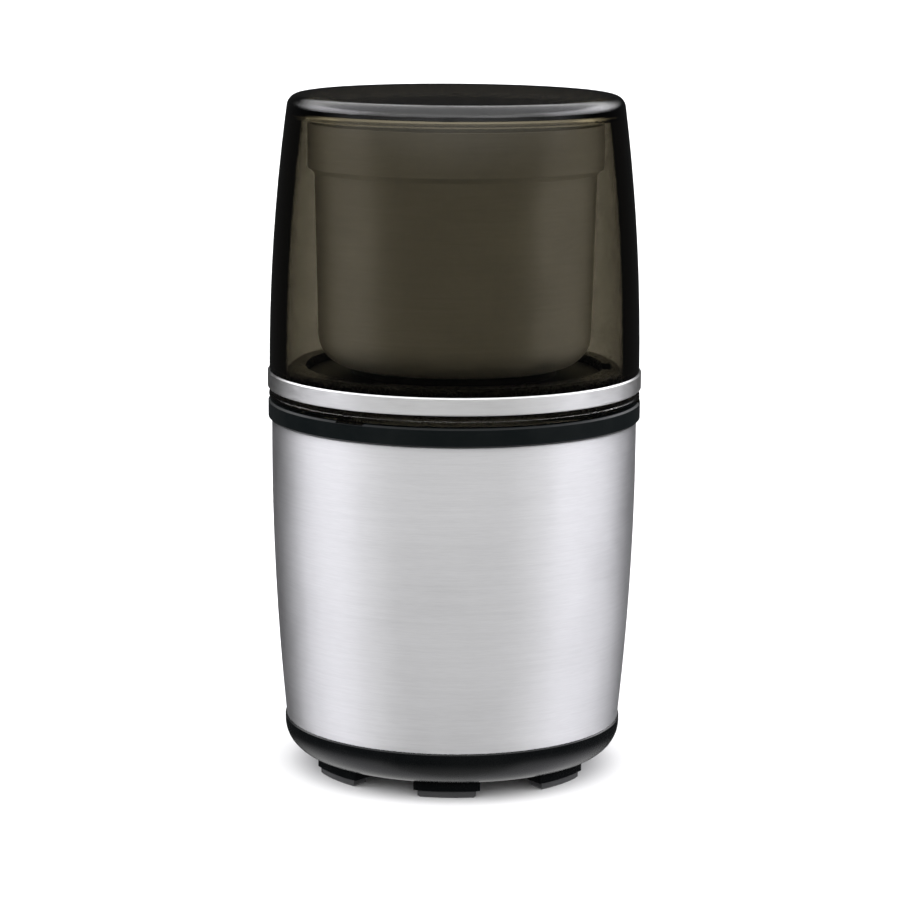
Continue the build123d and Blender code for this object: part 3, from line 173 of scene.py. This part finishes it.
def turned_metal(name, colour, dark, rough, aniso, along=26.0, across=2600.0, tint=WHITE):
    """Metal brushed round the axis: fine lines, long soft streaks and faint handling marks."""
    s = Material(name)
    lines = s.noise(1.0, rough=0.6, place=s.brushed(along * LINES_ALONG, across * LINES_ACROSS))
    streaks = s.noise(1.0, rough=0.55, place=s.brushed(along, across * STREAKS_ACROSS))
    marks = s.noise(38.0, detail=2.0)
    tone = s.plus(s.times(lines, LINE_SHARE), s.times(streaks, 1 - LINE_SHARE))
    s.set(base_color=s.mix(s.spread(tone, 0.0, 1.0, limits=(0.36, 0.64)), dark, colour))
    s.set(roughness=s.plus(s.spread(lines, rough - 0.05, rough + 0.05), s.spread(marks, -0.02, 0.03)))
    s.set(metallic=1.0, anisotropic=aniso, anisotropic_rotation=QUARTER_TURN, specular_tint=tint)
    tangent = s.node("ShaderNodeTangent", direction_type="RADIAL", axis="Z")
    s.link(tangent.outputs[0], s.main.inputs["Tangent"])
    s.bump(lines, 0.12, 0.03 * MM)
    return s.material


def turned_small(name, colour, dark, rough, aniso):
    """A small part turned on a lathe: the same metal with its lines closer together."""
    return turned_metal(name, colour, dark, rough, aniso, along=60.0, across=5200.0)


def plain_metal(name, colour, dark, rough=0.35, scale=900.0, depth=0.1, stretch=(1, 1, 1)):
    """Rolled, pressed or cast metal: a fine grain that may be drawn out, and a cloudy tone."""
    s = Material(name)
    grain = s.noise(scale, detail=4.0, rough=0.6, place=s.stretched(stretch))
    cloud = s.noise(scale / CLOUD_SIZE)
    s.set(base_color=s.mix(s.spread(cloud, 0.0, 1.0), dark, colour))
    s.set(roughness=s.spread(grain, rough - 0.07, rough + 0.09), metallic=1.0)
    s.bump(grain, depth, 0.04 * MM)
    return s.material


def moulded(name, colour, light, rough=0.42, scale=2400.0, depth=0.1, gloss=0.5):
    """Moulded plastic or rubber: fine spark texture and soft flow marks."""
    s = Material(name)
    grain = s.noise(scale, rough=0.6)
    cloud = s.noise(60.0, detail=4.0, rough=0.55)
    s.set(base_color=s.mix(s.spread(cloud, 0.0, 1.0), colour, light))
    s.set(roughness=s.plus(s.spread(grain, rough - 0.05, rough + 0.06), s.spread(cloud, -0.03, 0.05)))
    s.set(specular_ior_level=gloss)
    s.bump(grain, depth, 0.05 * MM)
    return s.material


def smoked(name, smoke, density):
    """Clear smoked moulding: light is lost inside the wall, not at its surface."""
    s = Material(name)
    haze = s.noise(45.0, detail=4.0, rough=0.6)
    fine = s.noise(900.0, detail=2.0)
    s.set(base_color=WHITE, transmission_weight=1.0, ior=ACRYLIC_IOR)
    s.set(roughness=s.plus(s.spread(haze, 0.0, 0.012), s.spread(fine, 0.0, 0.006)))
    inside = s.node("ShaderNodeVolumeAbsorption")
    s.put(inside.inputs["Color"], smoke)
    s.put(inside.inputs["Density"], density)
    s.link(inside.outputs[0], s.out.inputs["Volume"])
    s.bump(s.noise(14.0, detail=1.0), 0.02, 0.4 * MM)
    return s.material


looks = {
    "smoked_plastic": smoked("smoked moulding", (0.53, 0.502, 0.417), density=455.0),
    "band_steel": turned_metal("band steel", grey(0.74), grey(0.69), rough=0.38, aniso=0.9),
    "barrel_steel": turned_metal(
        "barrel steel", (0.748, 0.747, 0.758), (0.682, 0.681, 0.691),
        rough=0.48, aniso=0.9, tint=(0.55, 0.55, 0.57),
    ),
    "bowl_steel": turned_metal(
        "bowl steel", (0.87, 0.86, 0.83), (0.78, 0.77, 0.74),
        rough=0.52, aniso=0.92,
    ),
    "blade_steel": plain_metal(
        "blade steel", (0.66, 0.66, 0.67), (0.55, 0.55, 0.56),
        rough=0.28, scale=1100.0, depth=0.12, stretch=(0.12, 1, 1),
    ),
    "shaft_steel": turned_small(
        "shaft steel", (0.62, 0.62, 0.63), (0.50, 0.50, 0.51),
        rough=0.26, aniso=0.4,
    ),
    "spring_steel": plain_metal(
        "spring steel", (0.52, 0.53, 0.55), (0.40, 0.41, 0.43),
        rough=0.32,
    ),
    "screw_steel": plain_metal(
        "screw steel", (0.55, 0.55, 0.54), grey(0.42),
        rough=0.38, scale=1500.0,
    ),
    "bearing_steel": turned_small(
        "bearing steel", (0.66, 0.67, 0.69), (0.56, 0.57, 0.59),
        rough=0.16, aniso=0.3,
    ),
    "lamination_steel": plain_metal(
        "lamination steel", (0.17, 0.17, 0.18), (0.10, 0.10, 0.11),
        rough=0.5, scale=700.0, depth=0.3, stretch=(0.05, 0.05, 3),
    ),
    "frame_aluminium": plain_metal(
        "frame aluminium", (0.60, 0.60, 0.61), (0.48, 0.48, 0.49),
        rough=0.48, scale=1600.0, depth=0.2,
    ),
    "winding_copper": plain_metal(
        "winding copper", (0.55, 0.22, 0.10), (0.34, 0.11, 0.05),
        rough=0.32, scale=1500.0, depth=0.5, stretch=(1, 0.1, 1),
    ),
    "commutator_copper": turned_small(
        "commutator copper", (0.72, 0.38, 0.24), (0.56, 0.28, 0.17),
        rough=0.30, aniso=0.4,
    ),
    "holder_brass": plain_metal(
        "holder brass", (0.72, 0.55, 0.25), (0.58, 0.42, 0.18),
        rough=0.36,
    ),
    "bronze": turned_small(
        "bush bronze", (0.52, 0.36, 0.17), (0.38, 0.25, 0.11),
        rough=0.40, aniso=0.3,
    ),
    "brush_carbon": moulded(
        "brush carbon", (0.018, 0.018, 0.02), (0.04, 0.04, 0.042),
        rough=0.6, scale=2600.0, depth=0.3,
    ),
    "fuse_ceramic": moulded(
        "fuse body", (0.70, 0.69, 0.64), (0.80, 0.79, 0.74),
        rough=0.3, scale=1400.0, depth=0.05,
    ),
    "collar_black": moulded(
        "collar black", (0.0010, 0.0026, 0.0030), (0.0022, 0.0038, 0.0040),
        rough=0.38, scale=1800.0, depth=0.04, gloss=0.22,
    ),
    "base_black": moulded(
        "base black", (0.0020, 0.0026, 0.0030), (0.0038, 0.0044, 0.0046),
        rough=0.24, scale=2200.0, depth=0.05, gloss=0.25,
    ),
    "cover_black": moulded(
        "cover black", (0.010, 0.010, 0.011), (0.018, 0.018, 0.019),
        rough=0.52, scale=1500.0, depth=0.25, gloss=0.4,
    ),
    "deck_black": moulded(
        "deck black", (0.008, 0.008, 0.007), (0.013, 0.012, 0.011),
        rough=0.26, scale=1900.0, depth=0.04,
    ),
    "bowl_black": moulded("bowl base black", grey(0.010), grey(0.018), scale=1900.0, gloss=0.4),
    "nylon_black": moulded(
        "coupling black", (0.014, 0.014, 0.015), (0.026, 0.026, 0.027),
        rough=0.5, scale=2600.0, depth=0.2, gloss=0.4,
    ),
    "fan_nylon": moulded(
        "natural nylon", (0.60, 0.59, 0.54), (0.70, 0.69, 0.64),
        scale=1900.0, depth=0.08,
    ),
    "switch_plastic": moulded(
        "switch case", (0.03, 0.03, 0.034), (0.05, 0.05, 0.055),
        rough=0.45, depth=0.15,
    ),
    "pad_rubber": moulded(
        "pad rubber", (0.035, 0.036, 0.037), (0.06, 0.06, 0.062),
        rough=0.75, scale=2600.0, depth=0.35, gloss=0.3,
    ),
    "seal_rubber": moulded(
        "seal rubber", grey(0.018), grey(0.035),
        rough=0.7, scale=2600.0, depth=0.3, gloss=0.3,
    ),
}
for part in frame["record"]["subparts"]:
    shown = nodes[part["node"]]
    shown.data.materials.clear()
    shown.data.materials.append(looks[part["material_slot"]])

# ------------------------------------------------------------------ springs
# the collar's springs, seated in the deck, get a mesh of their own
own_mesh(nodes["collar_springs"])

# ------------------------------------------------------------------ camera
# the photograph's viewing angle in a square frame, fitted to the outlines; lengths in metres, but
# the sensor in millimetres, as Blender counts it
FOCAL_PIXELS = 3182.7
FRAME_PIXELS = 900
SENSOR = 36.0
DISTANCE = 0.9205
EYE_HEIGHT = 0.2618
FARTHEST = 100.0
PITCH = radians(10.35)
YAW = radians(0.071)
ROLL = radians(0.39)
TURN = radians(1.9)

lens = bpy.data.cameras.new("camera")
lens.lens = FOCAL_PIXELS / FRAME_PIXELS * SENSOR
lens.sensor_width = SENSOR
lens.clip_end = FARTHEST
camera = bpy.data.objects.new("camera", lens)
eye = Matrix.Translation((DISTANCE * sin(TURN), -DISTANCE * cos(TURN), EYE_HEIGHT))
heading = Matrix.Rotation(TURN + YAW, 4, "Z")
tilt = Matrix.Rotation(pi / 2 - PITCH, 4, "X") @ Matrix.Rotation(ROLL, 4, "Z")
camera.matrix_world = eye @ heading @ tilt
bpy.context.scene.collection.objects.link(camera)
bpy.context.scene.camera = camera


# ------------------------------------------------------------------ floor
def floor_look():
    """A pale table under what is seen; light and reflections pass on to the canopy below."""
    s = Material("pale floor")
    s.set(base_color=s.mix(s.noise(1.4), grey(0.70), grey(0.73)))
    s.set(roughness=0.8, specular_ior_level=0.0, alpha=s.seen_directly())
    return s.material


def plane(name, size, place, material):
    half = size / 2
    corners = [(-half, -half, 0), (half, -half, 0), (half, half, 0), (-half, half, 0)]
    mesh = bpy.data.meshes.new(name)
    mesh.from_pydata(corners, [], [(0, 1, 2, 3)])
    mesh.materials.append(material)
    made = bpy.data.objects.new(name, mesh)
    made.location = place
    bpy.context.scene.collection.objects.link(made)
    return made


plane("studio_floor", 30.0, (0, 0, 0), floor_look())

# ------------------------------------------------------------------ light
# a soft canopy of light, turned to face the camera, and left dark behind the object and at table
# height: how bright its parts are
OVERHEAD = 2.2
SIDES = 4.75
FRONT = 2.2
TABLE = 0.8
TABLE_SIDES = 1.45
DIM = 0.02
SIDE_TINT = (0.995, 0.99, 1.03)

# where they fade, in height: 1 straight up, -1 straight down
OVERHEAD_FROM = (0.30, 0.62)
SIDES_FROM = (0.08, 0.34)
SIDES_UP_TO = (0.45, 0.65)
TABLE_UP_TO = (-1.0, -0.5)
TABLE_SIDES_UP_TO = (-0.78, -0.34)

# and along the level: 1 in front, towards the camera, -1 behind the object
FRONT_FROM = (0.22, 0.56)
TABLE_FRONT_FROM = (0.45, 0.8)
BEHIND_UP_TO = (-0.98, -0.40)
BEHIND_TURN = 0.13  # the dark part behind the object is turned a little to the left

# light that goes in through the smoked lid and out again has LID_SHARE of the canopy and light of
# its own: even, less from behind, more from the flanks and from a strip right behind the object
LID_PASSES = 2.5
LID_SHARE = 0.27
UNDER_LID = 0.76
UNDER_LID_BEHIND = 0.42
LID_SIDES = 1.0
LID_SIDE_TINT = (1.0, 1.03, 1.2)
STRIP = 0.6
STRIP_UP_TO = (-0.97, -0.88)

LEAST_SQUARE = 0.0001  # keeps the level part of a direction off 0 straight up and down

world = bpy.data.worlds.new("studio")
bpy.context.scene.world = world
world.use_nodes = True
sky = Nodes(world.node_tree)
backdrop = sky.tree.nodes["Background"]
direction = sky.node("ShaderNodeTexCoord").outputs["Generated"]
split = sky.node("ShaderNodeSeparateXYZ")
sky.link(direction, split.inputs[0])
height = split.outputs["Z"]
level_square = sky.minus(1.0, sky.times(height, height))
level = sky.math("SQRT", sky.math("MAXIMUM", level_square, LEAST_SQUARE))


def along(axis):
    """How far the level part of the direction runs along a level axis."""
    dot = sky.node("ShaderNodeVectorMath", operation="DOT_PRODUCT")
    sky.link(direction, dot.inputs[0])
    dot.inputs[1].default_value = axis
    return sky.math("DIVIDE", dot.outputs["Value"], level)


def step(value, limits, low=0.0, high=1.0):
    """Soft ramp of a value from low to high between two limits."""
    return sky.ramp(value, limits, (low, high), "SMOOTHSTEP")


ahead = along((sin(TURN), -cos(TURN), 0))
aside = along((cos(TURN), sin(TURN), 0))
ahead_turned = sky.plus(ahead, sky.times(aside, BEHIND_TURN))
not_behind = step(ahead_turned, BEHIND_UP_TO)
flank = sky.times(step(ahead, FRONT_FROM, 1.0, 0.0), not_behind)

overhead = step(height, OVERHEAD_FROM, 0.0, OVERHEAD)
round_about = sky.times(
    step(ahead, FRONT_FROM, SIDES, FRONT),
    not_behind,
    step(height, SIDES_UP_TO, 1.0, 0.0),
    step(height, SIDES_FROM),
)
table = step(height, TABLE_UP_TO, TABLE, 0.0)
table_sides = sky.times(
    step(height, TABLE_SIDES_UP_TO, TABLE_SIDES, 0.0),
    step(ahead, TABLE_FRONT_FROM, 1.0, 0.0),
)
canopy = sky.plus(overhead, round_about, sky.math("MAXIMUM", table, table_sides), DIM)

passed = sky.node("ShaderNodeLightPath").outputs["Transmission Depth"]
through_lid = sky.math("GREATER_THAN", passed, LID_PASSES)
lid_light = sky.plus(
    step(ahead, STRIP_UP_TO, STRIP, 0.0),
    step(ahead_turned, BEHIND_UP_TO, UNDER_LID_BEHIND, UNDER_LID),
    sky.times(flank, LID_SIDES),
)
lid_share = sky.minus(1.0, sky.times(through_lid, 1.0 - LID_SHARE))
lit = sky.plus(sky.times(canopy, lid_share), sky.times(through_lid, lid_light))

# what is seen directly is plain white, and everything else gets its light from the canopy
direct = sky.seen_directly()
reflected = sky.minus(1.0, direct)
sky.link(sky.plus(direct, sky.times(reflected, lit)), backdrop.inputs["Strength"])
side_tint = sky.mix(through_lid, SIDE_TINT, LID_SIDE_TINT)
sky.link(sky.mix(sky.times(flank, reflected), WHITE, side_tint), backdrop.inputs["Color"])
bpy.context.scene.view_settings.view_transform = "Standard"
